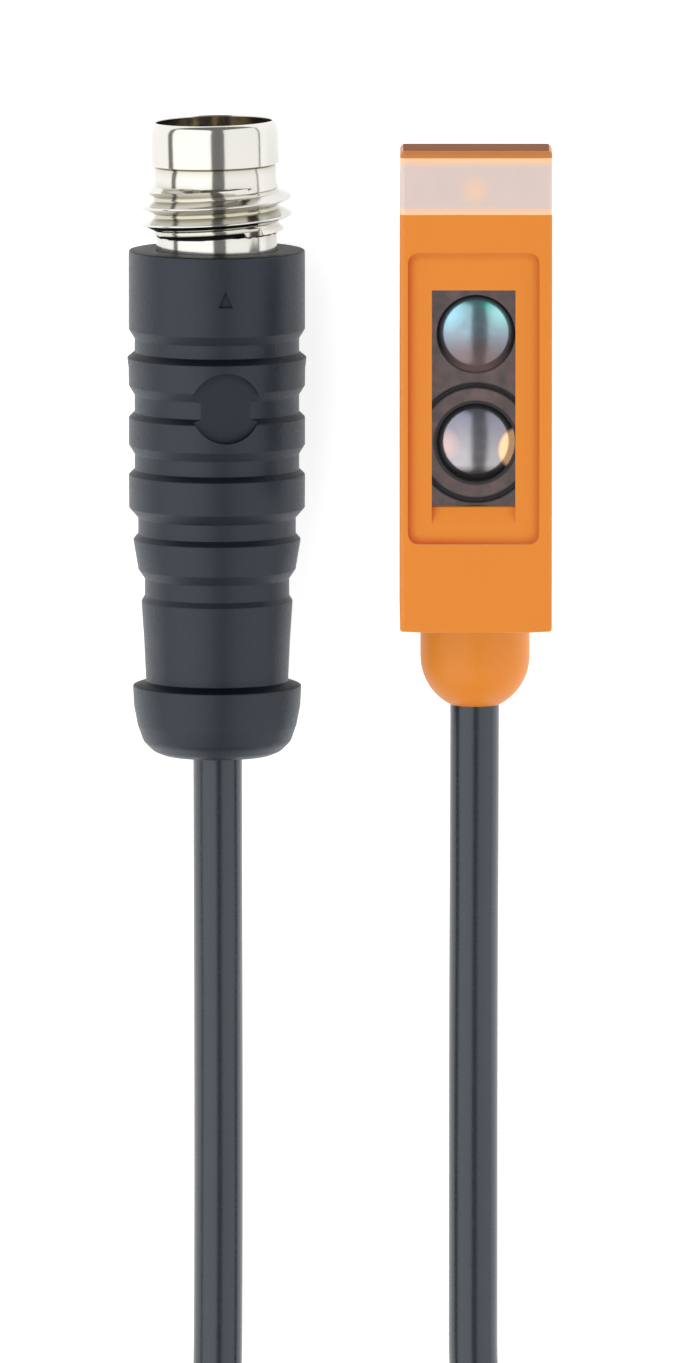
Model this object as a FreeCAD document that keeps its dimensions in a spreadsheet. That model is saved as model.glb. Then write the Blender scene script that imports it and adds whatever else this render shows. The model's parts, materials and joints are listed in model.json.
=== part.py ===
import FreeCAD, Part

import math
import os
import re
import Sketcher
from FreeCAD import Placement, Rotation, Vector

# Miniature photoelectric sensor with a pigtail plug, lying on its flat back.
# Row frame: +Z up, towards the optics window; +Y towards the LED end; X across the 8 mm width.
# The origin is the bottom centre of the sensor head, measured without the cable and its plug.

SIZES = {
    # head, millimetres
    "head_width": 8.0,
    "head_depth": 13.5,
    "overshoot": 1.0,
    "overlap": 0.1,
    "head_top": 15.18,
    "box_bottom": -10.32,
    "box_bottom_side": -10.27,
    "wall_side": 0.9,
    "wall_end": 1.0,
    "wall_front": 1.6,
    "top_flat": 3.6,
    "slope_foot": 8.6,
    "edge_round": 0.3,
    "side_round": 0.25,
    "lid_thick": 0.4,
    "cap_height": 3.0,
    "cap_depth": 3.6,
    "cap_skin": 0.8,
    "cap_shelf": 0.6,
    "cap_floor": 0.4,
    "light_path_side": 0.4,
    "top_wall": 1.1,
    "back_wall": 0.3,
    "corner_round": 0.16,
    # front panel and optics window, distances measured down from the LED cap's upper edge
    "panel_half": 3.46,
    "panel_x": -0.13,
    "panel_from": 5.0,
    "panel_to": 20.4,
    "panel_sunk": 0.3,
    "panel_corner": 0.55,
    "window_half": 2.2,
    "window_from": 7.0,
    "window_to": 18.5,
    "sill_run": 0.85,
    "sill_drop": 0.35,
    "sill_lap": 0.5,
    "pane_front": 12.45,
    "pane_thick": 0.5,
    "pane_gap": 0.03,
    # optics
    "lens_radius": 2.05,
    "lens_edge": 1.0,
    "lens_dome": 0.55,
    "lens_seat": 10.1,
    "emitter_y": 5.3,
    "receiver_y": -0.45,
    "barrel_radius": 1.75,
    "carrier_half": 2.9,
    "carrier_from": -4.3,
    "carrier_to": 8.5,
    "carrier_back": 7.4,
    "carrier_front": 11.6,
    "seat_gap": 0.03,
    "ring_mark_radius": 3.15,
    "ring_mark_width": 0.2,
    "ring_mark_depth": 0.3,
    "chip_half": 0.8,
    "chip_thick": 0.7,
    "photo_half": 1.1,
    # dome and cable outlet
    "dome_radius": 2.9,
    "outlet_z": 4.6,
    "dome_root": 0.3,
    "lip_thick": 0.5,
    "grommet_radius": 1.65,
    "cable_radius": 1.3,
    "cable_gap": 0.02,
    "jacket_end": -8.3,
    "ring_radius": 1.75,
    "ring_length": 0.7,
    "core_radius": 0.3,
    "core_pitch": 0.8,
    "core_x": -0.25,
    "core_turn": -7.1,
    # rear cover, bushes and circuit board
    "cover_thick": 0.9,
    "cover_to": 7.5,
    "cover_gap": 0.04,
    "bush_radius": 2.3,
    "bush_bore": 1.6,
    "bush_z": 3.3,
    "bush_upper_y": 6.8,
    "bush_lower_y": -4.0,
    "board_x": 1.2,
    "board_thick": 0.8,
    "board_from": -7.7,
    "board_tab": -6.45,
    "board_tab_back": 3.2,
    "board_back": 1.3,
    "board_spine": 5.9,
    "board_front": 6.6,
    "board_low": -1.3,
    "board_high": 3.6,
    "tongue_from": 8.8,
    "tongue_to": 13.8,
    "tongue_front": 9.2,
    "optics_board_back": 6.7,
    # plug, heights measured from the top plane of its grip
    "plug_x": -13.68,
    "plug_y": 9.07,
    "plug_z": 4.65,
    "sleeve_tip": 6.85,
    "sleeve_bore": 3.1,
    "neck_radius": 3.2,
    "thread_from": 0.9,
    "thread_to": 3.3,
    "thread_radius": 4.0,
    "band_radius": 3.3,
    "rim_from": 4.65,
    "rim_radius": 3.45,
    "rim_round": 0.3,
    "root_depth": 3.0,
    "root_cover": 0.6,
    "root_radius": 3.6,
    "insert_face": 1.6,
    "insert_back": -5.2,
    "insert_radius": 3.05,
    "pin_radius": 0.5,
    "pin_circle": 1.55,
    "pin_tip": 5.6,
    "mould_end": -13.0,
    "mould_wall_end": -11.0,
    "mould_radius": 3.55,
    "plug_jacket_end": -9.4,
    "grip_length": 26.9,
    "grip_radius": 4.67,
    "grip_round": 0.12,
    "disc_radius": 1.87,
    "disc_y": -8.0,
    "disc_x": 0.5,
    "disc_floor": 4.2,
    "mark_y": -2.2,
    "mark_half": 0.38,
    "mark_height": 0.9,
    "mark_floor": 4.38,
    # coil of the spare cable and its tie
    "coil_x": -6.9,
    "coil_y": -70.2,
    "coil_inner": 10.1,
    "coil_outer": 15.7,
    "coil_low": 0.3,
    "coil_high": 5.55,
    "coil_round": 1.1,
    "tie_half": 2.5,
    "tie_wall": 0.35,
}

# Finger grooves of the grip: upper edge, lower edge and floor radius.
GROOVES = [
    (-4.2, -5.7, 4.36),
    (-7.2, -8.9, 4.36),
    (-10.3, -11.95, 4.36),
    (-13.7, -15.4, 4.18),
    (-17.0, -18.7, 3.83),
]

# Taper of the grip below its grooves and the rounded collar: inset from the grip radius, height.
GRIP_TAPER = [
    (0.0, -13.7),
    (0.23, -15.4),
    (0.5, -17.0),
    (0.66, -18.7),
    (0.8, -20.8),
    (0.9, -23.0),
    (0.2, -23.2),
    (0.26, -24.3),
    (0.45, -25.3),
    (0.76, -26.2),
    (1.28, -26.7),
]

# Centre lines of the cable: from the head and from the plug, each down to the floor and on to
# the coil. The jacket rests on the floor between the coil and the outlets.
HEAD_ROUTE = [
    (0.0, -8.3, 4.6),
    (-0.02, -19.0, 4.6),
    (-0.06, -32.8, 1.46),
    (-0.06, -45.4, 1.36),
    (-0.06, -54.0, 1.42),
    (1.81, -58.85, 1.5),
    (5.28, -62.7, 1.6),
]
PLUG_ROUTE = [
    (-13.68, -0.33, 4.65),
    (-13.65, -22.6, 4.65),
    (-13.64, -36.9, 1.5),
    (-13.66, -46.8, 1.38),
    (-13.72, -54.0, 2.15),
    (-15.56, -58.75, 3.5),
    (-18.95, -62.42, 4.25),
]

# Formulas used in several sub-parts.
CAP_TOP = "(head_top - lid_thick)"
CAP_FOOT = "(head_top - lid_thick - cap_height)"
BACK_EDGE = "(head_depth - edge_round - top_flat)"
DOME_CENTRE = "(-head_top + sqrt(dome_radius ^ 2 - cable_radius ^ 2))"

doc = FreeCAD.newDocument("photoelectric_sensor")
sheet = doc.addObject("Spreadsheet::Sheet", "dims")
for row, (word, value) in enumerate(SIZES.items(), start=1):
    sheet.set(f"A{row}", word)
    sheet.set(f"B{row}", str(value))
    sheet.setAlias(f"B{row}", word)
doc.recompute()

nodes = []


def size(word):
    """Read one driving dimension from the sheet."""
    return float(getattr(sheet, word))


def expr(text):
    """Turn a formula in plain size words into a FreeCAD expression on the sheet."""
    def on_sheet(match):
        word = match.group()
        return "dims." + word if word in SIZES else word

    return re.sub(r"[a-z_]\w*", on_sheet, str(text))


def value(text):
    """Work a formula out now, as a starting value for a sketch point."""
    return float(eval_number(expr(text)))


def eval_number(text):
    """Let the sheet evaluate an expression and return a plain number."""
    result = sheet.evalExpression(text)
    return getattr(result, "Value", result)


def node(obj, name):
    """Name a finished sub-part and put it on the list of nodes."""
    obj.Label = name
    nodes.append(obj)
    return obj


def bind(obj, **formulas):
    """Bind properties to formulas; a double underscore stands for a dot."""
    for key, text in formulas.items():
        obj.setExpression(key.replace("__", "."), expr(text))


def place(obj, x=0, y=0, z=0, axis=Vector(0, 0, 1)):
    """Turn an object's own Z to an axis and bind its place to the sheet."""
    obj.Placement = Placement(Vector(), Rotation(Vector(0, 0, 1), axis))
    bind(obj, Placement__Base__x=x, Placement__Base__y=y, Placement__Base__z=z)
    return obj


def block(name, x, y, z):
    """A box between pairs of low and high formulas."""
    box = doc.addObject("Part::Box", name)
    bind(
        box,
        Length=f"({x[1]}) - ({x[0]})",
        Width=f"({y[1]}) - ({y[0]})",
        Height=f"({z[1]}) - ({z[0]})",
    )
    return place(box, x[0], y[0], z[0])


def rod(name, radius, along, low, high, x=0, y=0, z=0):
    """A cylinder along one row axis, from low to high on that axis."""
    axes = {"x": Vector(1, 0, 0), "y": Vector(0, 1, 0), "z": Vector(0, 0, 1)}
    start = {"x": x, "y": y, "z": z}
    start[along] = low
    shaft = doc.addObject("Part::Cylinder", name)
    bind(shaft, Radius=radius, Height=f"({high}) - ({low})")
    return place(shaft, start["x"], start["y"], start["z"], axes[along])


def cut(name, base, *tools):
    """Take one or more tools away from a base."""
    for count, tool in enumerate(tools):
        part = doc.addObject("Part::Cut", f"{name}_cut_{count}")
        part.Base = base
        part.Tool = tool
        base = part
    return base


def new_body(name):
    return doc.addObject("PartDesign::Body", name)


def plane(body, role):
    """One of a body's own origin planes."""
    return next(item for item in body.Origin.OriginFeatures if item.Role == role)


def new_sketch(body, name, role, lift):
    """A sketch on one of the body's origin planes, lifted along its normal."""
    sketch = body.newObject("Sketcher::SketchObject", name)
    sketch.AttachmentSupport = [(plane(body, role), "")]
    sketch.MapMode = "FlatFace"
    bind(sketch, AttachmentOffset__Base__z=lift)
    return sketch


def pin_point(sketch, index, vertex, point, across, up):
    """Dimension a sketch point from the origin and bind the given dimensions to the sheet."""
    for kind, seed, text in (("DistanceX", point.x, across), ("DistanceY", point.y, up)):
        if text is None:
            continue
        number = sketch.addConstraint(Sketcher.Constraint(kind, -1, 1, index, vertex, seed))
        sketch.setExpression(f"Constraints[{number}]", expr(text))


def outline(body, name, role, points, lift="0"):
    """A closed outline of straight lines through points given as pairs of formulas."""
    sketch = new_sketch(body, name, role, lift)
    seeds = [Vector(value(across), value(up), 0) for across, up in points]
    count = len(points)
    for index in range(count):
        sketch.addGeometry(Part.LineSegment(seeds[index], seeds[(index + 1) % count]), False)
    for index in range(count):
        sketch.addConstraint(Sketcher.Constraint("Coincident", index, 2, (index + 1) % count, 1))
    for index, (across, up) in enumerate(points):
        pin_point(sketch, index, 1, seeds[index], across, up)
    return sketch


def ring(body, name, role, radius, across, up, lift="0"):
    """A circle with its centre and radius bound to the sheet."""
    sketch = new_sketch(body, name, role, lift)
    centre = Vector(value(across), value(up), 0)
    sketch.addGeometry(Part.Circle(centre, Vector(0, 0, 1), value(radius)), False)
    pin_point(sketch, 0, 3, centre, across, up)
    number = sketch.addConstraint(Sketcher.Constraint("Radius", 0, value(radius)))
    sketch.setExpression(f"Constraints[{number}]", expr(radius))
    return sketch


def extrude(body, kind, name, sketch, length, both=False, backwards=False):
    """A Pad or a Pocket of one sketch, checked to change the volume the right way."""
    doc.recompute()
    before = body.Shape.Volume if body.Shape.Solids else 0.0
    feature = body.newObject("PartDesign::" + kind, name)
    feature.Profile = sketch
    feature.Midplane = both
    feature.Reversed = backwards
    bind(feature, Length=length)
    doc.recompute()
    change = feature.Shape.Volume - before
    if (change <= 0) == (kind == "Pad"):
        raise RuntimeError(f"{name} changes the volume by {change:.3f}")
    return feature


def turn(body, kind, name, sketch):
    """A Revolution or a Groove of one sketch about the sketch's own Y axis."""
    doc.recompute()
    before = body.Shape.Volume if body.Shape.Solids else 0.0
    feature = body.newObject("PartDesign::" + kind, name)
    feature.Profile = sketch
    feature.ReferenceAxis = (sketch, ["V_Axis"])
    feature.Angle = 360.0
    doc.recompute()
    change = feature.Shape.Volume - before
    if (change <= 0) == (kind == "Revolution"):
        raise RuntimeError(f"{name} changes the volume by {change:.3f}")
    return feature


def dress(body, kind, name, edge_test, amount):
    """Round (Fillet, Radius) or bevel (Chamfer, Size) the edges of the body that pass a test."""
    doc.recompute()
    last = body.Tip
    names = [f"Edge{n}" for n, edge in enumerate(last.Shape.Edges, start=1) if edge_test(edge)]
    if not names:
        raise RuntimeError(f"{name} finds no edge")
    feature = body.newObject("PartDesign::" + kind, name)
    feature.Base = (last, names)
    feature.setExpression("Radius" if kind == "Fillet" else "Size", expr(amount))
    doc.recompute()
    return feature


def along(edge, axis):
    """Whether a straight edge runs along a row axis."""
    first, last = edge.Vertexes[0].Point, edge.Vertexes[-1].Point
    span = last - first
    return span.Length > 1e-6 and abs(span.dot(axis)) > 0.999 * span.Length


def dome_outline(body):
    """Half outline of the domed outlet: a straight part, then an arc down to the cable."""
    sketch = new_sketch(body, "dome_outline", "XY_Plane", "outlet_z")
    radius, lip = size("dome_radius"), size("cable_radius")
    base, centre, end = value("box_bottom + dome_root"), value(DOME_CENTRE), -size("head_top")
    arc = Part.Circle(Vector(0, centre, 0), Vector(0, 0, 1), radius)
    sketch.addGeometry(Part.LineSegment(Vector(0, base, 0), Vector(radius, base, 0)), False)
    sketch.addGeometry(Part.LineSegment(Vector(radius, base, 0), Vector(radius, centre, 0)), False)
    sketch.addGeometry(Part.ArcOfCircle(arc, -math.acos(lip / radius), 0), False)
    sketch.addGeometry(Part.LineSegment(Vector(lip, end, 0), Vector(0, end, 0)), False)
    sketch.addGeometry(Part.LineSegment(Vector(0, end, 0), Vector(0, base, 0)), False)
    joints = ((0, 2, 1, 1), (1, 2, 2, 2), (2, 1, 3, 1), (3, 2, 4, 1), (4, 2, 0, 1))
    for first, end_one, second, end_two in joints:
        sketch.addConstraint(Sketcher.Constraint("Coincident", first, end_one, second, end_two))
    pin_point(sketch, 0, 1, Vector(0, base, 0), "0", "box_bottom + dome_root")
    pin_point(sketch, 1, 1, Vector(radius, base, 0), "dome_radius", "box_bottom + dome_root")
    pin_point(sketch, 2, 2, Vector(radius, centre, 0), "dome_radius", DOME_CENTRE)
    pin_point(sketch, 2, 3, Vector(0, centre, 0), "0", DOME_CENTRE)
    pin_point(sketch, 4, 1, Vector(0, end, 0), "0", "-head_top")
    pin_point(sketch, 2, 1, Vector(lip, end, 0), None, "-head_top")
    return sketch


def head_shell():
    """Orange housing: box with a sloped back, domed outlet, sunken panel and optics window."""
    body = new_body("housing_shell")
    half = "head_width / 2"
    front = outline(body, "front_outline", "XY_Plane", [
        (f"-{half}", "head_top"),
        (f"-{half}", "box_bottom_side"),
        ("-dome_radius", "box_bottom"),
        ("dome_radius", "box_bottom"),
        (half, "box_bottom_side"),
        (half, "head_top"),
    ])
    extrude(body, "Pad", "box", front, "head_depth")
    slope = outline(body, "slope_outline", "YZ_Plane", [
        ("slope_foot", "0"),
        ("head_top", BACK_EDGE),
        ("head_top + overshoot", BACK_EDGE),
        ("head_top + overshoot", "-overshoot"),
        ("slope_foot", "-overshoot"),
    ])
    extrude(body, "Pocket", "back_slope", slope, "2 * head_width", both=True)
    upright = Vector(0, 0, 1)
    dress(body, "Fillet", "bottom_corners", lambda e: along(e, upright) and e.BoundBox.YMax < 0
          and abs(e.BoundBox.XMax) > 3.9, "corner_round")
    top_z = size("head_depth") - 1e-3
    dress(body, "Fillet", "front_sides", lambda e: along(e, Vector(0, 1, 0)) and e.BoundBox.ZMin > top_z
          and abs(e.BoundBox.XMax) > 3.9, "side_round")
    dress(body, "Fillet", "top_front_edge", lambda e: along(e, Vector(1, 0, 0))
          and e.BoundBox.ZMin > top_z and e.BoundBox.YMin > 14, "edge_round")
    turn(body, "Revolution", "dome", dome_outline(body))
    cavity = outline(body, "cavity_outline", "YZ_Plane", [
        ("box_bottom + wall_end", "-overshoot"),
        ("box_bottom + wall_end", "head_depth - wall_front"),
        (f"{CAP_FOOT} - cap_shelf", "head_depth - wall_front"),
        (f"{CAP_FOOT} - cap_shelf", "head_depth - cap_depth - cap_floor"),
        ("head_top - top_wall", "head_depth - cap_depth - cap_floor"),
        ("head_top - top_wall", f"{BACK_EDGE} - back_wall"),
        ("cover_to", "overlap"),
        ("cover_to", "-overshoot"),
    ])
    extrude(body, "Pocket", "cavity", cavity, "head_width - 2 * wall_side", both=True)
    cap_room = outline(body, "cap_room_outline", "YZ_Plane", [
        (CAP_FOOT, "head_depth - cap_depth"),
        (CAP_TOP, "head_depth - cap_depth"),
        (CAP_TOP, "head_depth + overshoot"),
        (CAP_FOOT, "head_depth + overshoot"),
    ])
    extrude(body, "Pocket", "cap_room", cap_room, "2 * head_width", both=True)
    light_path = outline(body, "light_path_outline", "YZ_Plane", [
        (f"{CAP_FOOT} + cap_skin", "head_depth - cap_depth - cap_floor - overlap"),
        (f"{CAP_TOP} - cap_skin", "head_depth - cap_depth - cap_floor - overlap"),
        (f"{CAP_TOP} - cap_skin", "head_depth - cap_depth + overlap"),
        (f"{CAP_FOOT} + cap_skin", "head_depth - cap_depth + overlap"),
    ])
    across = "head_width - 2 * cap_skin - light_path_side"
    extrude(body, "Pocket", "light_path", light_path, across, both=True)
    panel = outline(body, "panel_outline", "XY_Plane", [
        ("panel_x - panel_half", f"{CAP_TOP} - panel_to"),
        ("panel_x + panel_half", f"{CAP_TOP} - panel_to"),
        ("panel_x + panel_half", f"{CAP_TOP} - panel_from"),
        ("panel_x - panel_half", f"{CAP_TOP} - panel_from"),
    ], "head_depth - panel_sunk")
    extrude(body, "Pocket", "panel", panel, "1", backwards=True)
    floor_z = size("head_depth") - size("panel_sunk")
    dress(body, "Fillet", "panel_corners", lambda e: along(e, upright) and e.BoundBox.ZMin > floor_z - 1e-3
          and abs(abs(e.BoundBox.XMax - size("panel_x")) - size("panel_half")) < 1e-3, "panel_corner")
    window = outline(body, "window_outline", "XY_Plane", [
        ("panel_x - window_half", f"{CAP_TOP} - window_to"),
        ("panel_x + window_half", f"{CAP_TOP} - window_to"),
        ("panel_x + window_half", f"{CAP_TOP} - window_from"),
        ("panel_x - window_half", f"{CAP_TOP} - window_from"),
    ], "head_depth - wall_front - 1")
    extrude(body, "Pocket", "window", window, "5", backwards=True)
    sill = outline(body, "sill_outline", "YZ_Plane", [
        (f"{CAP_TOP} - window_to - sill_run", "head_depth - panel_sunk"),
        (f"{CAP_TOP} - window_to", "head_depth - panel_sunk - sill_drop"),
        (f"{CAP_TOP} - window_to + sill_lap", "head_depth - panel_sunk - sill_drop"),
        (f"{CAP_TOP} - window_to + sill_lap", "head_depth + overshoot"),
        (f"{CAP_TOP} - window_to - sill_run", "head_depth + overshoot"),
    ], "panel_x")
    extrude(body, "Pocket", "sill", sill, "2 * window_half", both=True)
    for name, bush_y in (("upper", "bush_upper_y"), ("lower", "bush_lower_y")):
        hole = ring(body, f"bush_hole_{name}", "YZ_Plane", "bush_radius", bush_y, "bush_z")
        extrude(body, "Pocket", f"bush_pocket_{name}", hole, "2 * head_width", both=True)
    bore = outline(body, "outlet_bore_outline", "XY_Plane", [
        ("0", "-head_top - overshoot"),
        ("cable_radius + cable_gap", "-head_top - overshoot"),
        ("cable_radius + cable_gap", "-head_top + lip_thick"),
        ("grommet_radius", "-head_top + lip_thick"),
        ("grommet_radius", "box_bottom + wall_end + overlap"),
        ("0", "box_bottom + wall_end + overlap"),
    ], "outlet_z")
    turn(body, "Groove", "outlet_bore", bore)
    return node(body, "housing_shell")


def rear_cover():
    """Flat plate that closes the housing from behind."""
    gap = "cover_gap"
    inside = f"(head_width / 2 - wall_side - {gap})"
    plate = block(
        "rear_cover",
        (f"-{inside}", inside),
        (f"box_bottom + wall_end + {gap}", f"cover_to - {gap}"),
        ("0", "cover_thick"),
    )
    return node(plate, "rear_cover")


def led_cap():
    """Milky light window that fills the housing's top end and is hollow above the LEDs."""
    body = new_body("led_cap")
    half = "head_width / 2"
    front = outline(body, "cap_outline", "XY_Plane", [
        (f"-{half}", f"{CAP_TOP} - cap_height"),
        (half, f"{CAP_TOP} - cap_height"),
        (half, CAP_TOP),
        (f"-{half}", CAP_TOP),
    ], "head_depth - cap_depth")
    extrude(body, "Pad", "cap_block", front, "cap_depth")
    front_z = size("head_depth") - 1e-3
    dress(body, "Fillet", "cap_sides", lambda e: along(e, Vector(0, 1, 0)) and e.BoundBox.ZMin > front_z,
          "side_round")
    room = outline(body, "cap_room_outline", "XY_Plane", [
        (f"-({half} - cap_skin)", f"{CAP_TOP} - cap_height + cap_skin"),
        (f"{half} - cap_skin", f"{CAP_TOP} - cap_height + cap_skin"),
        (f"{half} - cap_skin", f"{CAP_TOP} - cap_skin"),
        (f"-({half} - cap_skin)", f"{CAP_TOP} - cap_skin"),
    ], "head_depth - cap_skin")
    extrude(body, "Pocket", "cap_room", room, "cap_depth")
    return node(body, "led_cap")


def front_pane():
    """Clear pane set into the optics window."""
    half = "(window_half - pane_gap)"
    pane = block(
        "front_pane",
        (f"panel_x - {half}", f"panel_x + {half}"),
        (f"{CAP_TOP} - window_to + pane_gap", f"{CAP_TOP} - window_from - pane_gap"),
        ("pane_front - pane_thick", "pane_front"),
    )
    return node(pane, "front_pane")


def lens(name, lens_y):
    """Plano-convex lens: a flat disc with a spherical dome."""
    body = new_body(name)
    rim, dome = size("lens_radius"), size("lens_dome")
    edge = size("lens_edge")
    ball_radius = (rim ** 2 + dome ** 2) / (2 * dome)
    sketch = new_sketch(body, name + "_outline", "XZ_Plane", "0")
    centre = Vector(0, edge + dome - ball_radius, 0)
    start = math.atan2(edge - centre.y, rim)
    arc = Part.Circle(centre, Vector(0, 0, 1), ball_radius)
    sketch.addGeometry(Part.LineSegment(Vector(0, 0, 0), Vector(rim, 0, 0)), False)
    sketch.addGeometry(Part.LineSegment(Vector(rim, 0, 0), Vector(rim, edge, 0)), False)
    sketch.addGeometry(Part.ArcOfCircle(arc, start, math.pi / 2), False)
    sketch.addGeometry(Part.LineSegment(Vector(0, edge + dome, 0), Vector(0, 0, 0)), False)
    for first, end_one, second, end_two in ((0, 2, 1, 1), (1, 2, 2, 1), (2, 2, 3, 1), (3, 2, 0, 1)):
        sketch.addConstraint(Sketcher.Constraint("Coincident", first, end_one, second, end_two))
    pin_point(sketch, 0, 1, Vector(0, 0, 0), "0", "0")
    pin_point(sketch, 1, 1, Vector(rim, 0, 0), "lens_radius", "0")
    pin_point(sketch, 1, 2, Vector(rim, edge, 0), "lens_radius", "lens_edge")
    pin_point(sketch, 3, 1, Vector(0, edge + dome, 0), "0", "lens_edge + lens_dome")
    pin_point(sketch, 2, 3, centre, "0", None)
    turn(body, "Revolution", name + "_disc", sketch)
    bind(body, Placement__Base__y=lens_y, Placement__Base__z="lens_seat")
    return node(body, name)


def optics_carrier():
    """Black block with a barrel and a lens seat for each lens, and a ring mark round the receiver."""
    base = block(
        "carrier_block",
        ("-carrier_half", "carrier_half"),
        ("carrier_from", "carrier_to"),
        ("carrier_back", "carrier_front"),
    )
    tools = []
    above = "carrier_front + overshoot"
    for name, lens_y in (("emitter", "emitter_y"), ("receiver", "receiver_y")):
        seat = "lens_radius + seat_gap"
        low, high = "carrier_back - overshoot", "lens_seat + overlap"
        tools.append(rod(f"{name}_barrel", "barrel_radius", "z", low, high, y=lens_y))
        tools.append(rod(f"{name}_seat", seat, "z", "lens_seat", above, y=lens_y))
    floor = "carrier_front - ring_mark_depth"
    ring_inside = "ring_mark_radius - ring_mark_width"
    outer = rod("ring_mark_outer", "ring_mark_radius", "z", floor, above, y="receiver_y")
    inner = rod("ring_mark_inner", ring_inside, "z", floor, above, y="receiver_y")
    tools.append(cut("ring_mark", outer, inner))
    return node(cut("optics_carrier", base, *tools), "optics_carrier")


def optics_board():
    """Small board behind the barrels that carries the emitter and the receiver chips."""
    plate = block(
        "optics_board",
        ("-carrier_half", "carrier_half"),
        ("carrier_from", "carrier_to"),
        ("optics_board_back", "carrier_back"),
    )
    return node(plate, "optics_board")


def chip(name, centre_y, half):
    """A square light chip on the optics board, centred in its barrel."""
    package = block(
        name,
        (f"-{half}", half),
        (f"{centre_y} - {half}", f"{centre_y} + {half}"),
        ("carrier_back", "carrier_back + chip_thick"),
    )
    return node(package, name)


def main_pcb():
    """Upright circuit board that passes between the bushes and reaches up to the LED cap."""
    body = new_body("main_pcb")
    sketch = outline(body, "board_outline", "YZ_Plane", [
        ("board_from", "board_tab_back"),
        ("board_from", "board_front"),
        ("tongue_from", "board_front"),
        ("tongue_from", "tongue_front"),
        ("tongue_to", "tongue_front"),
        ("tongue_to - 2.5", "board_spine"),
        ("board_high", "board_spine"),
        ("board_high", "board_back"),
        ("board_low", "board_back"),
        ("board_low", "board_spine"),
        ("board_tab", "board_spine"),
        ("board_tab", "board_tab_back"),
    ], "board_x")
    extrude(body, "Pad", "board", sketch, "board_thick")
    return node(body, "main_pcb")


def sensor_asic():
    """Signal chip on the middle of the board."""
    package = block(
        "sensor_asic",
        ("board_x - 1.1", "board_x"),
        ("board_low + 0.6", "board_high - 0.6"),
        ("board_back + 0.5", "board_spine - 0.5"),
    )
    return node(package, "sensor_asic")


def smd_parts():
    """Small passive parts along the board's narrow strips, one group of separate solids."""
    places = [(-5.3, 6.0), (-3.6, 6.0), (-1.8, 6.0), (4.7, 6.0), (6.4, 6.0), (9.7, 7.5), (11.1, 8.2)]
    group = doc.addObject("Part::Compound", "smd_parts")
    parts = []
    for count, (low_y, low_z) in enumerate(places):
        parts.append(block(
            f"smd_{count}",
            ("board_x - 0.45", "board_x"),
            (str(low_y), f"{low_y} + 1.0"),
            (str(low_z), f"{low_z} + 0.5"),
        ))
    group.Links = parts
    return node(group, "smd_parts")


def indicator(name, low_x, high_x):
    """A side-view LED on the board's tongue, reaching into the hollow of the LED cap."""
    package = block(
        name,
        (low_x, high_x),
        ("tongue_to - 0.95", "tongue_to - 0.15"),
        ("tongue_front - 0.5", "tongue_front + 1.2"),
    )
    return node(package, name)


def mounting_bush(name, bush_y):
    """Steel sleeve through the housing's width for an M3 screw."""
    half = "head_width / 2"
    outer = rod(name + "_outside", "bush_radius", "x", f"-{half}", half, y=bush_y, z="bush_z")
    inner = rod(name + "_bore", "bush_bore", "x", f"-{half} - overshoot", f"{half} + overshoot",
                y=bush_y, z="bush_z")
    return node(cut(name, outer, inner), name)


def sleeve_on_cable(name, radius, low, high, x, z):
    """A plain ring on the cable, used for seals and crimp rings."""
    outer = rod(name + "_outside", radius, "y", low, high, x=x, z=z)
    inner = rod(name + "_bore", "cable_radius + cable_gap", "y", f"{low} - overshoot", f"{high} + overshoot",
                x=x, z=z)
    return node(cut(name, outer, inner), name)


def lay_plug(obj):
    """Move a body modelled about its own Y axis to the plug's place."""
    bind(obj, Placement__Base__x="plug_x", Placement__Base__y="plug_y", Placement__Base__z="plug_z")
    return obj


def turned_body(name, points):
    """A body revolved about its own Y axis from (radius, height) formulas, laid at the plug."""
    body = new_body(name)
    turn(body, "Revolution", name + "_turned", outline(body, name + "_outline", "XY_Plane", points))
    return lay_plug(body)


def threaded_sleeve():
    """Nickel-plated sleeve: hidden root, neck, thread at its major diameter, band and rim."""
    body = turned_body("threaded_sleeve", [
        ("sleeve_bore", "-root_depth"),
        ("root_radius", "-root_depth"),
        ("root_radius", "-root_cover"),
        ("neck_radius", "-root_cover"),
        ("neck_radius", "thread_from"),
        ("thread_radius", "thread_from"),
        ("thread_radius", "thread_to"),
        ("band_radius", "thread_to"),
        ("band_radius", "rim_from"),
        ("rim_radius", "rim_from"),
        ("rim_radius", "sleeve_tip"),
        ("sleeve_bore", "sleeve_tip"),
    ])
    tip = size("sleeve_tip")
    outside = size("rim_radius")
    dress(body, "Fillet", "rim_lip", lambda e: abs(e.BoundBox.YMin - tip) < 1e-3
          and abs(e.BoundBox.YMax - tip) < 1e-3 and e.BoundBox.XLength > 2 * outside - 0.01, "rim_round")
    return node(body, "threaded_sleeve")


def contact_carrier():
    """Insulating insert with one hole for each pin."""
    base = rod("insert_block", "insert_radius", "y", "plug_y + insert_back", "plug_y + insert_face",
               x="plug_x", z="plug_z")
    holes = [
        rod(f"pin_hole_{count}", "pin_radius", "y", "plug_y + insert_back - 1", "plug_y + insert_face + 1",
            x=across, z=up)
        for count, (across, up) in enumerate(pin_places())
    ]
    return node(cut("contact_carrier", base, *holes), "contact_carrier")


def pin_places():
    """Formulas for the three pin centres, spread round the pin circle."""
    return [
        (f"plug_x + pin_circle * cos({angle} deg)", f"plug_z + pin_circle * sin({angle} deg)")
        for angle in (30, 150, 270)
    ]


def contact_pins():
    """Three gold-plated pins, one group of separate solids."""
    group = doc.addObject("Part::Compound", "contact_pins")
    group.Links = [
        rod(f"pin_{count}", "pin_radius", "y", "plug_y + insert_back", "plug_y + pin_tip", x=across, z=up)
        for count, (across, up) in enumerate(pin_places())
    ]
    return node(group, "contact_pins")


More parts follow.
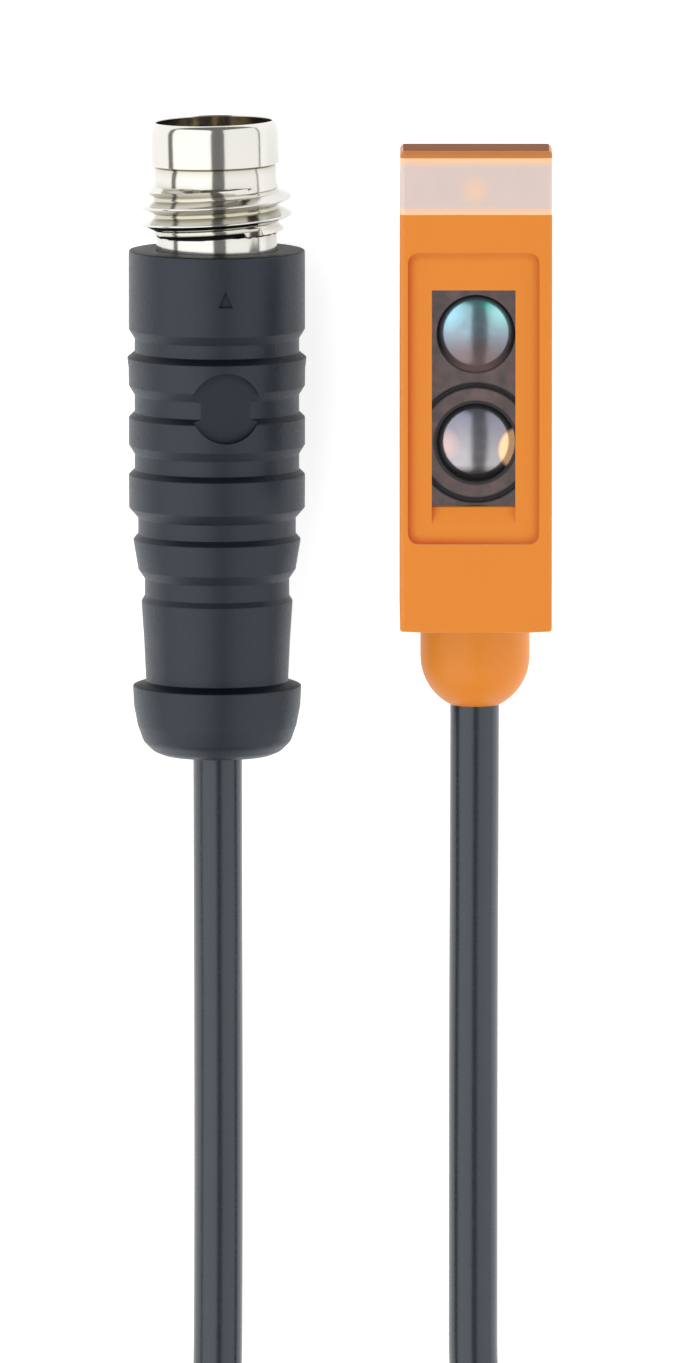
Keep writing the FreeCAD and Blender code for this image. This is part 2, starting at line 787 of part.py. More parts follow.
def inner_mould():
    """Hard pre-mould behind the sleeve that closes round the cable."""
    body = turned_body("plug_inner_mould", [
        ("cable_radius + cable_gap", "mould_end"),
        ("mould_radius", "mould_end"),
        ("mould_radius", "-root_depth"),
        ("sleeve_bore", "-root_depth"),
        ("sleeve_bore", "mould_wall_end"),
        ("cable_radius + cable_gap", "mould_wall_end"),
    ])
    return node(body, "plug_inner_mould")


def plug_grip():
    """Moulded grip: tapering outline, finger grooves, waist, collar, blank disc and arrow mark."""
    body = turned_body("plug_grip", [
        ("neck_radius + cable_gap", "0"),
        ("grip_radius", "0"),
        *[(f"grip_radius - {inset}", str(height)) for inset, height in GRIP_TAPER],
        ("grip_radius - 1.9", "-grip_length"),
        ("cable_radius + cable_gap", "-grip_length"),
        ("cable_radius + cable_gap", "mould_end"),
        ("root_radius", "mould_end"),
        ("root_radius", "-root_cover"),
        ("neck_radius + cable_gap", "-root_cover"),
    ])
    for count, (upper, lower, floor) in enumerate(GROOVES):
        groove = outline(body, f"groove_{count}_outline", "XY_Plane", [
            (str(floor), f"{upper} - 0.5"),
            (str(floor), f"{lower} + 0.3"),
            ("grip_radius + 0.06", f"{lower} - 0.04"),
            ("grip_radius + 0.06", f"{upper} + 0.1"),
        ])
        turn(body, "Groove", f"groove_{count}", groove)
    crest = 2 * size("grip_radius") - 0.01
    dress(body, "Fillet", "top_edge", lambda e: abs(e.BoundBox.YMin) < 1e-3
          and abs(e.BoundBox.YMax) < 1e-3 and e.BoundBox.XLength > crest, "grip_round")
    disc = ring(body, "disc_outline", "XY_Plane", "disc_radius", "disc_x", "disc_y", "disc_floor")
    extrude(body, "Pocket", "disc", disc, "2", backwards=True)
    arrow = outline(body, "arrow_outline", "XY_Plane", [
        ("disc_x - mark_half", "mark_y - mark_height / 2"),
        ("disc_x + mark_half", "mark_y - mark_height / 2"),
        ("disc_x", "mark_y + mark_height / 2"),
    ], "mark_floor")
    extrude(body, "Pocket", "arrow", arrow, "2", backwards=True)
    return node(body, "plug_grip")


def bend_radius(before, corner, after):
    """Tangent arc radius at a corner: 0.45 of the shorter run over the tangent of half the turn."""
    run_in, run_out = corner - before, after - corner
    return 0.45 * min(run_in.Length, run_out.Length) / math.tan(run_in.getAngle(run_out) / 2)


def rounded_path(points):
    """Straight runs through the points, joined by tangent arcs; also returns the radii."""
    edges, radii = [], []
    last = points[0]
    for before, corner, after in zip(points, points[1:], points[2:]):
        radius = bend_radius(before, corner, after)
        into, out = (corner - before).normalize(), (after - corner).normalize()
        reach = radius * math.tan(into.getAngle(out) / 2)
        start, end = corner - into * reach, corner + out * reach
        centre = corner + (out - into).normalize() * math.hypot(radius, reach)
        middle = centre + (corner - centre).normalize() * radius
        edges.append(Part.LineSegment(last, start).toShape())
        edges.append(Part.Arc(start, middle, end).toShape())
        radii.append(radius)
        last = end
    edges.append(Part.LineSegment(last, points[-1]).toShape())
    return Part.Wire(edges), radii


def tube(name, points, radius):
    """A round solid swept along a rounded path, with its volume compared to section times length."""
    points = [Vector(*point) for point in points]
    path, radii = rounded_path(points)
    section = Part.Wire(Part.Circle(points[0], (points[1] - points[0]).normalize(), radius).toShape())
    solid = path.makePipeShell([section], True, True)
    expected = math.pi * radius ** 2 * path.Length
    print(f"{name}: length {path.Length:.1f}, radii {[round(r, 1) for r in radii]}, "
          f"volume {solid.Volume / expected:.4f} of section times length")
    if abs(solid.Volume / expected - 1) > 0.005:
        raise RuntimeError(f"{name} has a wrong volume")
    return solid


def feature(name, shape):
    """Hold a computed shape as a sub-part."""
    part = doc.addObject("Part::Feature", name)
    part.Shape = shape
    return part


def head_core(name, rank):
    """One core from the jacket's end to the board's tab; the three lie in a flat row."""
    z = value(f"outlet_z + {rank} * core_pitch")
    points = [
        (size("core_x"), size("jacket_end"), z),
        (size("core_x"), size("core_turn"), z),
        (size("board_x"), size("core_turn"), z),
    ]
    return node(feature(name, tube(name, points, size("core_radius"))), name)


def plug_core(name, rank, pin):
    """One core from the jacket's end in the plug to the back of its pin."""
    across, up = pin_places()[pin]
    start_y = value("plug_y + plug_jacket_end")
    end_y = value("plug_y + insert_back")
    span = end_y - start_y
    start = (value(f"plug_x + {rank} * core_pitch"), size("plug_z"))
    end = (value(across), value(up))
    points = [
        (start[0], start_y, start[1]),
        (start[0], start_y + span / 3, start[1]),
        (end[0], end_y - span / 3, end[1]),
        (end[0], end_y, end[1]),
    ]
    return node(feature(name, tube(name, points, size("core_radius"))), name)


def coil():
    """Outer shape of the neatly wound spare cable."""
    body = new_body("cable_coil")
    sketch = outline(body, "coil_outline", "XZ_Plane", [
        ("coil_inner", "coil_low"),
        ("coil_outer", "coil_low"),
        ("coil_outer", "coil_high"),
        ("coil_inner", "coil_high"),
    ])
    turn(body, "Revolution", "coil_ring", sketch)
    dress(body, "Fillet", "coil_rounds", lambda e: len(e.Vertexes) == 1 or e.BoundBox.ZLength < 1e-6,
          "coil_round")
    bind(body, Placement__Base__x="coil_x", Placement__Base__y="coil_y")
    return node(body, "cable_coil")


def coil_tie():
    """Flat strap closed round the coil on the side away from the sensor."""
    near, far = "coil_y - coil_inner + 0.4", "coil_y - coil_outer - 0.05"
    across = ("coil_x - tie_half", "coil_x + tie_half")
    beyond = ("coil_x - tie_half - overshoot", "coil_x + tie_half + overshoot")
    outer = block("tie_outside", across, (f"{far} - tie_wall", f"{near} + tie_wall"),
                  ("0", "coil_high + tie_wall"))
    inner = block("tie_inside", beyond, (far, near), ("coil_low", "coil_high"))
    return node(cut("coil_tie", outer, inner), "coil_tie")


def cable_run(name, points, coil_body):
    """One stretch of jacketed cable, ending on the coil's face."""
    whole = feature(name + "_whole", tube(name, points, size("cable_radius")))
    return node(cut(name, whole, coil_body), name)


def check_and_export():
    """Stop on any failed object, then write each sub-part to its own file."""
    doc.recompute()
    for obj in doc.Objects:
        if "Invalid" in obj.State or "Error" in obj.State:
            raise RuntimeError(f"{obj.Label} failed: {obj.State}")
    os.makedirs("parts", exist_ok=True)
    for obj in nodes:
        if obj.Shape.isNull() or not obj.Shape.isValid():
            raise RuntimeError(f"{obj.Label} has no valid shape")
        print(f"{obj.Label}: {len(obj.Shape.Solids)} solid(s), {obj.Shape.Volume:.3f} mm3")
        obj.Shape.exportStep(f"parts/{obj.Label}.step")


head_shell()
rear_cover()
led_cap()
front_pane()
lens("emitter_lens", "emitter_y")
lens("receiver_lens", "receiver_y")
optics_carrier()
optics_board()
chip("emitter_led", "emitter_y", "chip_half")
chip("receiver_photodiode", "receiver_y", "photo_half")
main_pcb()
sensor_asic()
smd_parts()
indicator("status_led", "board_x - 0.9", "board_x")
indicator("power_led", "board_x + board_thick", "board_x + board_thick + 0.9")
mounting_bush("mounting_bush_upper", "bush_upper_y")
mounting_bush("mounting_bush_lower", "bush_lower_y")
sleeve_on_cable("cable_grommet", "grommet_radius", "-head_top + lip_thick", "box_bottom + wall_end",
                "0", "outlet_z")
sleeve_on_cable("cable_crimp_ring", "ring_radius", "jacket_end - ring_length", "jacket_end", "0", "outlet_z")
for core_name, core_rank in (("head_wire_brown", 1), ("head_wire_blue", 0), ("head_wire_black", -1)):
    head_core(core_name, core_rank)

threaded_sleeve()
contact_carrier()
contact_pins()
inner_mould()
plug_grip()
sleeve_on_cable("plug_crimp_ring", "ring_radius + 0.1", "plug_y + plug_jacket_end - 1.2",
                "plug_y + plug_jacket_end", "plug_x", "plug_z")
for core_name, core_rank, core_pin in (("plug_wire_brown", 1, 0), ("plug_wire_blue", -1, 1),
                                       ("plug_wire_black", 0, 2)):
    plug_core(core_name, core_rank, core_pin)

coil_ring = coil()
coil_tie()
cable_run("cable_head_run", HEAD_ROUTE, coil_ring)
cable_run("cable_plug_run", PLUG_ROUTE, coil_ring)
check_and_export()
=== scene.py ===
import json
import math

import bmesh
import bpy
from mathutils import Matrix, Vector

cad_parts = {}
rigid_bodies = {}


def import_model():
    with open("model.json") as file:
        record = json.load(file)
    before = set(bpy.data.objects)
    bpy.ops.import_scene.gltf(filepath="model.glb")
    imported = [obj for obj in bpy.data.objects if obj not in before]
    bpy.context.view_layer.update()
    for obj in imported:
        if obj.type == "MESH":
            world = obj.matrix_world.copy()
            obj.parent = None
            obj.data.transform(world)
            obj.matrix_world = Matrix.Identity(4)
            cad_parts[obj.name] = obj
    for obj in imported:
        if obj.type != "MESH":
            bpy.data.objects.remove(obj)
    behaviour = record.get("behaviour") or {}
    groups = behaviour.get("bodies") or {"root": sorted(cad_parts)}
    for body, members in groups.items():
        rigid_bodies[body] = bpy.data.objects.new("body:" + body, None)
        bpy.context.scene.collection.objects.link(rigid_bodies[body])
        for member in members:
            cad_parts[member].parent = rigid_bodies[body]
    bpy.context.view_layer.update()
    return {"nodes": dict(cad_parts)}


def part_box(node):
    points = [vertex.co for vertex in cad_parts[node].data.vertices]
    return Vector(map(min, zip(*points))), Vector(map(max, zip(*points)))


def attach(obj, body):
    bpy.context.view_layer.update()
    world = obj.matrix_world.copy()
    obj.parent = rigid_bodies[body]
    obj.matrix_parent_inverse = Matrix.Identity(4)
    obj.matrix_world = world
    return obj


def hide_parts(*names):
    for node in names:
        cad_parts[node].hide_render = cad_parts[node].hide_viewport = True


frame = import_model()

MM = 0.001
BODY = "root"


def mm(x, y, z):
    """A point of the row frame from millimetres."""
    return Vector((x, y, z)) * MM


def middle(node):
    """The centre of a CAD node's box."""
    low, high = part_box(node)
    return (low + high) / 2


# ---------------------------------------------------------------- camera

CAMERA_TARGET = mm(-6.63, -12.88, 13.5)
CAMERA_TILT = math.radians(7.0)
CAMERA_DISTANCE = 1.1
FRAME_HEIGHT = 0.07174
SENSOR_HEIGHT = 24.0
CLIP_NEAR = 0.05
CLIP_FAR = 20.0


def make_camera():
    """Long lens from above, leaning towards the ends with the light window and the thread."""
    data = bpy.data.cameras.new("camera")
    data.sensor_fit = "VERTICAL"
    data.sensor_height = SENSOR_HEIGHT
    data.lens = SENSOR_HEIGHT * CAMERA_DISTANCE / FRAME_HEIGHT
    data.clip_start = CLIP_NEAR
    data.clip_end = CLIP_FAR
    camera = bpy.data.objects.new("camera", data)
    bpy.context.scene.collection.objects.link(camera)
    back = Vector((0, math.sin(CAMERA_TILT), math.cos(CAMERA_TILT)))
    camera.location = CAMERA_TARGET + back * CAMERA_DISTANCE
    camera.rotation_euler = (-CAMERA_TILT, 0, 0)
    bpy.context.scene.camera = camera


make_camera()


# ---------------------------------------------------------------- cable

CABLE_DIAMETER = 2.6 * MM
HEAD_ROUTE = [
    (0.0, -8.3, 4.6),
    (-0.02, -19.0, 4.6),
    (-0.06, -32.8, 1.46),
    (-0.06, -45.4, 1.36),
    (-0.06, -54.0, 1.42),
    (1.81, -58.85, 1.5),
    (5.28, -62.7, 1.6),
]
PLUG_ROUTE = [
    (-13.68, -0.33, 4.65),
    (-13.65, -22.6, 4.65),
    (-13.64, -36.9, 1.5),
    (-13.66, -46.8, 1.38),
    (-13.72, -54.0, 2.15),
    (-15.56, -58.75, 3.5),
    (-18.95, -62.42, 4.25),
]
COIL_CENTRE = (-6.9, -70.2)
COIL_START = 30.75
COIL_TURN = -961.5
COIL_STEPS = 43
OUTER_LANE = 14.32
INNER_LANE = 11.67
LOW_LAYER = 1.6
HIGH_LAYER = 4.25
# degrees of winding over which the turns move inside, on top of the first layer, and out again
MOVE_IN = (270, 345)
MOVE_UP = (580, 635)
MOVE_OUT = (700, 900)


def ease(value, start, end):
    """A smooth step from 0 at start to 1 at end."""
    share = min(1.0, max(0.0, (value - start) / (end - start)))
    return share * share * (3 - 2 * share)


def coil_points():
    """Wound turns: once round outside, once inside, then on top of both and out again."""
    points = []
    for step in range(1, COIL_STEPS):
        wound = abs(COIL_TURN) * step / COIL_STEPS
        angle = math.radians(COIL_START + COIL_TURN * step / COIL_STEPS)
        inward = ease(wound, *MOVE_IN) - ease(wound, *MOVE_OUT)
        lane = OUTER_LANE + (INNER_LANE - OUTER_LANE) * inward
        height = LOW_LAYER + (HIGH_LAYER - LOW_LAYER) * ease(wound, *MOVE_UP)
        points.append((
            COIL_CENTRE[0] + lane * math.cos(angle),
            COIL_CENTRE[1] + lane * math.sin(angle),
            height,
        ))
    return points


def cord_curve(name, points, radius):
    """A round cord along one smooth spline with these control points, in millimetres."""
    curve = bpy.data.curves.new(name, "CURVE")
    curve.dimensions = "3D"
    curve.bevel_depth = 1.0
    curve.bevel_resolution = 10
    curve.resolution_u = 12
    curve.use_fill_caps = True
    spline = curve.splines.new("NURBS")
    spline.points.add(len(points) - 1)
    for target, point in zip(spline.points, points):
        target.co = (*mm(*point), 1.0)
        target.radius = radius
    spline.order_u = 3
    spline.use_endpoint_u = True
    cord = bpy.data.objects.new(name, curve)
    bpy.context.scene.collection.objects.link(cord)
    return cord


def make_cable():
    """The whole cable, from inside the head, round the coil and into the plug."""
    route = HEAD_ROUTE + coil_points() + PLUG_ROUTE[::-1]
    cable = cord_curve("cable", route, CABLE_DIAMETER / 2)
    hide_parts("cable_head_run", "cable_coil", "cable_plug_run")
    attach(cable, BODY)
    return cable


# ---------------------------------------------------------------- materials


def shader(name):
    """A new node material, its tree and its main shader."""
    material = bpy.data.materials.new(name)
    material.use_nodes = True
    tree = material.node_tree
    return material, tree, tree.nodes["Principled BSDF"]


def place_of(tree):
    """The row-frame position of the shaded point."""
    return tree.nodes.new("ShaderNodeTexCoord").outputs["Object"]


def grain_of(tree, grain, detail=2.0):
    """A noise pattern whose features are about this many millimetres across."""
    noise = tree.nodes.new("ShaderNodeTexNoise")
    noise.inputs["Scale"].default_value = 1 / (grain * MM)
    noise.inputs["Detail"].default_value = detail
    tree.links.new(place_of(tree), noise.inputs["Vector"])
    return noise.outputs["Fac"]


def spread_of(tree, source, low, high, start=0.3, end=0.7):
    """Stretch a value from start..end to low..high."""
    spread = tree.nodes.new("ShaderNodeMapRange")
    spread.inputs["From Min"].default_value = start
    spread.inputs["From Max"].default_value = end
    spread.inputs["To Min"].default_value = low
    spread.inputs["To Max"].default_value = high
    tree.links.new(source, spread.inputs["Value"])
    return spread.outputs["Result"]


def mix_of(tree, share, low, high):
    """Blend two colours; each is a triple or a socket."""
    mix = tree.nodes.new("ShaderNodeMix")
    mix.data_type = "RGBA"
    tree.links.new(share, mix.inputs[0])
    for socket, colour in ((mix.inputs[6], low), (mix.inputs[7], high)):
        if isinstance(colour, tuple):
            socket.default_value = (*colour, 1)
        else:
            tree.links.new(colour, socket)
    return mix.outputs[2]


def scaled(colour, factor):
    """A colour made darker or lighter by a factor."""
    return tuple(channel * factor for channel in colour)


def bump_of(tree, main, pattern, depth, strength=1.0):
    """Raise the surface by a pattern; the depth is in millimetres."""
    bump = tree.nodes.new("ShaderNodeBump")
    bump.inputs["Strength"].default_value = strength
    bump.inputs["Distance"].default_value = depth * MM
    tree.links.new(pattern, bump.inputs["Height"])
    tree.links.new(bump.outputs["Normal"], main.inputs["Normal"])


def crease_shade_mask(tree, reach, full=0.35):
    """How enclosed a point is by its own piece: 0 in the open, 1 deep in a crease; the mask for painted
    crease shade.
    """
    closed = tree.nodes.new("ShaderNodeAmbientOcclusion")
    closed.samples = 8
    closed.only_local = True
    closed.inputs["Distance"].default_value = reach * MM
    return spread_of(tree, closed.outputs["AO"], 1.0, 0.0, full, 0.97)


def axis_of(tree, axis, source=None):
    """One coordinate of a vector, by default of the shaded point."""
    split = tree.nodes.new("ShaderNodeSeparateXYZ")
    tree.links.new(source or place_of(tree), split.inputs[0])
    return split.outputs[axis]


def distance_of(tree, centre):
    """Distance of the shaded point from a centre."""
    away = tree.nodes.new("ShaderNodeVectorMath")
    away.operation = "DISTANCE"
    away.inputs[1].default_value = centre
    tree.links.new(place_of(tree), away.inputs[0])
    return away.outputs["Value"]


def surface(name, colour, rough, tone=0.06, tone_size=1.2, grain=0.12, depth=0.002, crease_shade=0,
            crease_shade_tint=None, ledge_shade_shine=0, **settings):
    """Uneven tone and roughness and a fine grain; optional painted shade in creases and on upward-facing
    ledges.
    """
    material, tree, main = shader(name)
    patches = grain_of(tree, tone_size, 3.0)
    body = mix_of(tree, patches, scaled(colour, 1 - tone), scaled(colour, 1 + tone))
    # painted shade: creases found by ambient occlusion are darkened
    if crease_shade:
        body = mix_of(tree, crease_shade_mask(tree, crease_shade), body, crease_shade_tint or scaled(colour, 0.15))
    # painted shade: faces turned up towards +Y are darkened, and their shine is lowered
    if ledge_shade_shine:
        normal = tree.nodes.new("ShaderNodeNewGeometry").outputs["Normal"]
        facing = axis_of(tree, "Y", normal)
        painted_ledge_shade = spread_of(tree, facing, 0.0, 0.8, *SHADED_LEDGE_FACING)
        body = mix_of(tree, painted_ledge_shade, body, scaled(colour, 0.3))
        shine = spread_of(tree, facing, ledge_shade_shine, 0.1 * ledge_shade_shine, *SHADED_LEDGE_FACING)
        tree.links.new(shine, main.inputs["Specular IOR Level"])
    tree.links.new(body, main.inputs["Base Color"])
    fine = grain_of(tree, grain)
    tree.links.new(spread_of(tree, fine, rough * 0.9, rough * 1.12), main.inputs["Roughness"])
    bump_of(tree, main, fine, depth)
    for key, setting in settings.items():
        main.inputs[key.replace("_", " ")].default_value = setting
    return material


def milky_cap():
    """Milky light window with painted light: an orange glow along its upper and lower joints and one
    faint warm glow spot, painted into its colour.
    """
    material, tree, main = shader("led_window")
    low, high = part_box("led_cap")
    along = axis_of(tree, "Y")
    # painted glow: orange bands along the lower and upper joints and one warm spot
    lower = spread_of(tree, along, 1.0, 0.0, low.y, low.y + CAP_GLOW)
    upper = spread_of(tree, along, 0.0, 1.0, high.y - CAP_GLOW, high.y)
    spot = spread_of(tree, distance_of(tree, mm(*CAP_GLOW_SPOT)), 0.5, 0.0, 0.0, CAP_GLOW_SPOT_REACH)
    patches = grain_of(tree, 1.4, 3.0)
    body = mix_of(tree, patches, scaled(CAP_MILKY, 0.96), scaled(CAP_MILKY, 1.04))
    for share in (lower, upper, spot):
        body = mix_of(tree, share, body, CAP_PAINTED_GLOW)
    tree.links.new(body, main.inputs["Base Color"])
    fine = grain_of(tree, 0.09)
    tree.links.new(spread_of(tree, fine, 0.28, 0.36), main.inputs["Roughness"])
    bump_of(tree, main, fine, 0.001)
    main.inputs["Subsurface Weight"].default_value = 0.25
    main.inputs["Subsurface Radius"].default_value = (0.9, 0.55, 0.4)
    main.inputs["Subsurface Scale"].default_value = 0.8 * MM
    return material


def clear_pane():
    """Thin clear window: mostly see-through with a weak glossy film."""
    material, tree, main = shader("clear_pane")
    through = tree.nodes.new("ShaderNodeBsdfTransparent")
    tint = mix_of(tree, grain_of(tree, 1.5), (0.94, 0.94, 0.95), (0.98, 0.98, 0.98))
    tree.links.new(tint, through.inputs["Color"])
    film = tree.nodes.new("ShaderNodeBsdfGlossy")
    fine = grain_of(tree, 0.4)
    tree.links.new(spread_of(tree, fine, 0.04, 0.08), film.inputs["Roughness"])
    tree.links.new(mix_of(tree, fine, (0.9, 0.9, 0.92), (1.0, 1.0, 1.0)), film.inputs["Color"])
    join = tree.nodes.new("ShaderNodeMixShader")
    edge = tree.nodes.new("ShaderNodeFresnel")
    edge.inputs["IOR"].default_value = 1.35
    tree.links.new(edge.outputs["Fac"], join.inputs["Fac"])
    tree.links.new(through.outputs["BSDF"], join.inputs[1])
    tree.links.new(film.outputs["BSDF"], join.inputs[2])
    tree.nodes.remove(main)
    tree.links.new(join.outputs["Shader"], tree.nodes["Material Output"].inputs["Surface"])
    return material


def maths(tree, operation, first, second):
    """One arithmetic step on two sockets."""
    step = tree.nodes.new("ShaderNodeMath")
    step.operation = operation
    tree.links.new(first, step.inputs[0])
    tree.links.new(second, step.inputs[1])
    return step.outputs["Value"]


def orange_plastic(name, shine, lid_shade_share, lid_shade_colour):
    """Satin moulded orange with painted shade: darker red in the creases, stronger on the left, and a
    darker lid above the light window.
    """
    material, tree, main = shader(name)
    patches = grain_of(tree, 2.5, 3.0)
    body = mix_of(tree, patches, scaled(ORANGE, 0.98), scaled(ORANGE, 1.02))
    along = axis_of(tree, "Y")
    # painted shade: creases darkened to a deeper red, faded out towards the panel's top edge and
    # stronger on the left side
    fade = ((PANEL_TOP - 0.35) * MM, (PANEL_TOP - 0.05) * MM)
    below_top = spread_of(tree, along, 1.0, 0.0, *fade)
    from_left = spread_of(tree, axis_of(tree, "X"), 0.8, 0.5, -2.0 * MM, 2.0 * MM)
    where = maths(tree, "MULTIPLY", below_top, from_left)
    crease_shade = maths(tree, "MULTIPLY", crease_shade_mask(tree, 0.5, 0.68), where)
    body = mix_of(tree, crease_shade, body, ORANGE_CREASE_SHADE)
    # painted shade on the lid above the light window
    painted_lid_shade = spread_of(tree, along, 0.0, lid_shade_share, LID_FROM * MM, (LID_FROM + 0.03) * MM)
    body = mix_of(tree, painted_lid_shade, body, lid_shade_colour)
    tree.links.new(body, main.inputs["Base Color"])
    fine = grain_of(tree, 0.1)
    tree.links.new(spread_of(tree, fine, 0.40, 0.48), main.inputs["Roughness"])
    bump_of(tree, main, fine, 0.0012)
    main.inputs["Specular IOR Level"].default_value = shine
    return material


def flat_distance(tree, centre):
    """Distance of the shaded point from a vertical line."""
    flat = tree.nodes.new("ShaderNodeVectorMath")
    flat.operation = "MULTIPLY"
    flat.inputs[1].default_value = (1, 1, 0)
    tree.links.new(place_of(tree), flat.inputs[0])
    away = tree.nodes.new("ShaderNodeVectorMath")
    away.operation = "DISTANCE"
    away.inputs[1].default_value = (centre.x, centre.y, 0)
    tree.links.new(flat.outputs["Vector"], away.inputs[0])
    return away.outputs["Value"]


def optics_block():
    """Dull black block behind the pane, with painted shade at the seats and along the ring mark."""
    material, tree, main = shader("optics_black")
    patches = grain_of(tree, 0.6, 4.0)
    body = mix_of(tree, spread_of(tree, patches, 0.0, 1.0), (0.10, 0.075, 0.075), (0.19, 0.12, 0.11))
    centre = middle("receiver_lens")
    away = flat_distance(tree, centre)
    # painted shade around the seat's edge and the ring mark
    for low, high in SHADED_RINGS:
        inner = spread_of(tree, away, 0.0, 1.0, (low - RING_FADE) * MM, low * MM)
        outer = spread_of(tree, away, 1.0, 0.0, high * MM, (high + RING_FADE) * MM)
        body = mix_of(tree, maths(tree, "MULTIPLY", inner, outer), body, RING_SHADE)
    tree.links.new(body, main.inputs["Base Color"])
    fine = grain_of(tree, 0.08)
    tree.links.new(spread_of(tree, fine, 0.45, 0.6), main.inputs["Roughness"])
    bump_of(tree, main, fine, 0.003)
    return material


def lens_with_painted_reflections(name, node, dark, top_reflection, foot_top, patches):
    """Glass as a dim mirror with painted reflections: its colour changes from bottom to top of the dome,
    with painted shade at its foot and rim and soft coloured patches of painted reflection.

    A patch with a full share also lies over the painted rim shadow and glows a little as painted light.
    """
    material, tree, main = shader(name)
    centre = middle(node)
    along = axis_of(tree, "Y")
    # painted reflection: the colour changes from dark below to the top tint up the dome, with painted
    # shade at the foot
    rise = spread_of(tree, along, 0.0, 1.0, centre.y - 0.6 * MM, centre.y + 1.9 * MM)
    body = mix_of(tree, rise, dark, top_reflection)
    foot = spread_of(tree, along, 0.92, 0.0, centre.y - 1.6 * MM, centre.y - foot_top * MM)
    body = mix_of(tree, foot, body, LENS_FOOT_SHADE)
    cloud = spread_of(tree, grain_of(tree, 0.9), 0.0, 0.25)
    body = mix_of(tree, cloud, body, scaled(dark, 0.6))
    # painted rim shadow and patches of painted reflection; full-share patches also glow as painted light
    rim_shadow_fade = (RIM_FROM * MM, (RIM_FROM + 0.12) * MM)
    rim = spread_of(tree, flat_distance(tree, centre), 0.0, 1.0, *rim_shadow_fade)
    for spot, reach, tint, share in patches:
        over_rim = share == 1.0
        if over_rim:
            body = mix_of(tree, rim, body, RIM_SHADOW)
        away = distance_of(tree, centre + mm(*spot, 0))
        near = spread_of(tree, away, share, 0.0, reach[0] * MM, reach[1] * MM)
        body = mix_of(tree, near, body, tint)
        if over_rim:
            tree.links.new(near, main.inputs["Emission Strength"])
            main.inputs["Emission Color"].default_value = (*scaled(tint, 0.5), 1)
    tree.links.new(body, main.inputs["Base Color"])
    main.inputs["Metallic"].default_value = 0.9
    fine = grain_of(tree, 0.3)
    tree.links.new(spread_of(tree, fine, 0.16, 0.22), main.inputs["Roughness"])
    return material


SHADED_LEDGE_FACING = (0.25, 0.8)
CAP_GLOW = 0.5 * MM
CAP_GLOW_SPOT = (-0.1, 13.05, 13.5)
CAP_GLOW_SPOT_REACH = 0.95 * MM
CAP_MILKY = (0.655, 0.535, 0.49)
CAP_PAINTED_GLOW = (0.95, 0.56, 0.295)
ORANGE = (0.705, 0.22, 0.022)
ORANGE_CREASE_SHADE = (0.64, 0.075, 0.006)
COOL = (0.84, 0.92, 1.0, 1.0)
PANEL_TOP = 9.78
LID_FROM = 14.78
# painted shade, from and to, in millimetres from the receiver's axis: at its seat's edge and at the ring
# mark
SHADED_RINGS = ((2.05, 2.2), (2.9, 3.18))
RING_FADE = 0.08
RING_SHADE = (0.015, 0.01, 0.014)
LENS_FOOT_SHADE = (0.10, 0.085, 0.09)
RIM_SHADOW = (0.012, 0.008, 0.012)
RIM_FROM = 1.82
# each patch of painted reflection: its centre from the lens axis, its full and its outer radius, colour
# and share
LENS_TURQUOISE_REFLECTIONS = [
    ((1.3, 1.1), (0.2, 1.1), (0.40, 0.85, 0.80), 0.9),
    ((0.5, 1.4), (0.2, 0.7), (0.03, 0.62, 0.50), 0.9),
    ((-1.3, 0.9), (0.2, 1.0), (0.40, 0.75, 0.92), 0.8),
    ((0.0, -2.4), (0.9, 2.5), (0.18, 0.12, 0.115), 1.0),
]
LENS_PEACH_REFLECTIONS = [
    ((-1.5, -0.1), (0.3, 1.0), (0.75, 0.50, 0.46), 0.8),
    ((2.1, -0.35), (0.95, 1.15), (0.85, 0.50, 0.27), 1.0),
]

